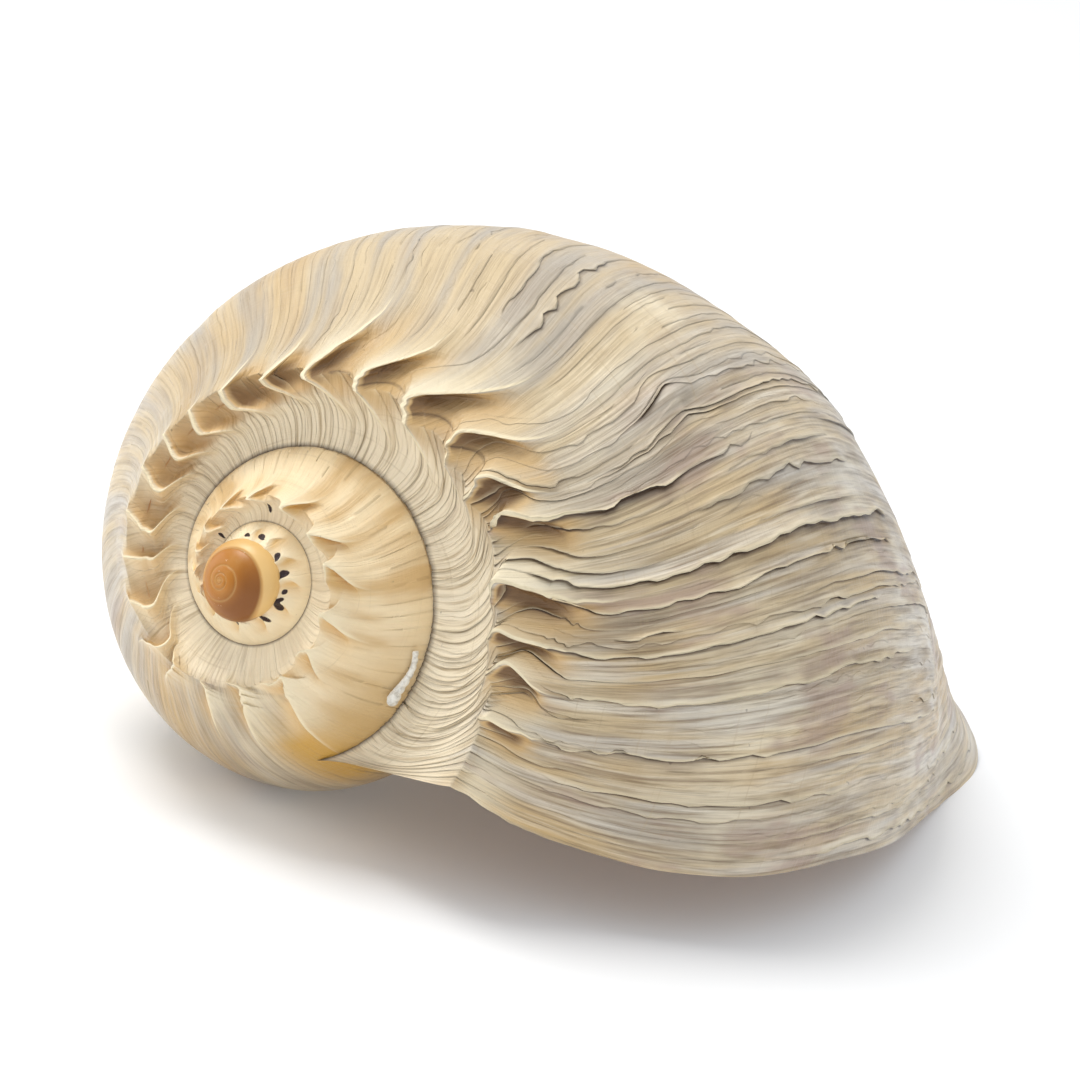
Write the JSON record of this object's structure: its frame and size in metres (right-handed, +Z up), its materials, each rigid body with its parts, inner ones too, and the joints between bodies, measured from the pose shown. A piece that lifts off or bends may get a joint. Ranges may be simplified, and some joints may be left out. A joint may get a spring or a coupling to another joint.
{
  "type": "melon shell",
  "caption": "Large coiled sea shell with a spined crown, ridged growth lines and a wide aperture, resting aperture down.",
  "frame": {"origin": "centre of the bounding box at the level the shell rests on", "axes": "+X along the shell towards its anterior end (the apex points to -X and a little up), +Z up, outer lip on the -Y side"},
  "size_m": [0.228, 0.1536, 0.1124],
  "materials": {
    "shell": "cream and tan shell, semi-gloss with rough growth ledges",
    "worm_tube": "matt chalky white"
  },
  "bodies": {
    "root": {"shell": "shell", "worm_tube": "worm_tube"}
  },
  "joints": []
}
